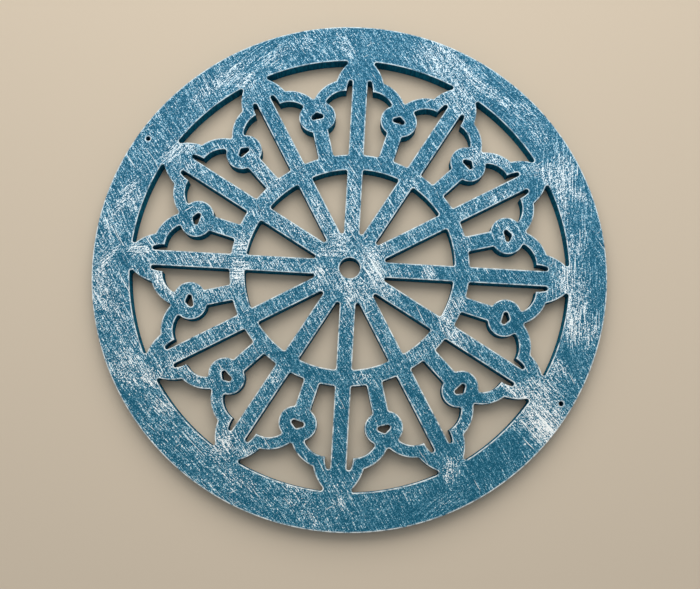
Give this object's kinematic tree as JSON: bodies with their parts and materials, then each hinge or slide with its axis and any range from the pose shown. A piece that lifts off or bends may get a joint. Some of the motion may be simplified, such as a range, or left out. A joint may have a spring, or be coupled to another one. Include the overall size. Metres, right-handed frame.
{
  "type": "round wooden window",
  "caption": "Round wooden window panel cut as a rose: spokes, an inner band, pierced bosses and foiled arches inside a broad rim, in worn blue paint.",
  "frame": {"origin": "centre of the flat back face, where the window meets the wall", "axes": "+Z out of the front face, +Y along a spoke, towards the top of the window as it is seen"},
  "size_m": [0.4, 0.4, 0.0127],
  "materials": {
    "painted_wood": "chalky blue paint, rubbed back to white along the edges and in scratches"
  },
  "bodies": {
    "root": {"rose_window": "painted_wood"}
  },
  "joints": []
}
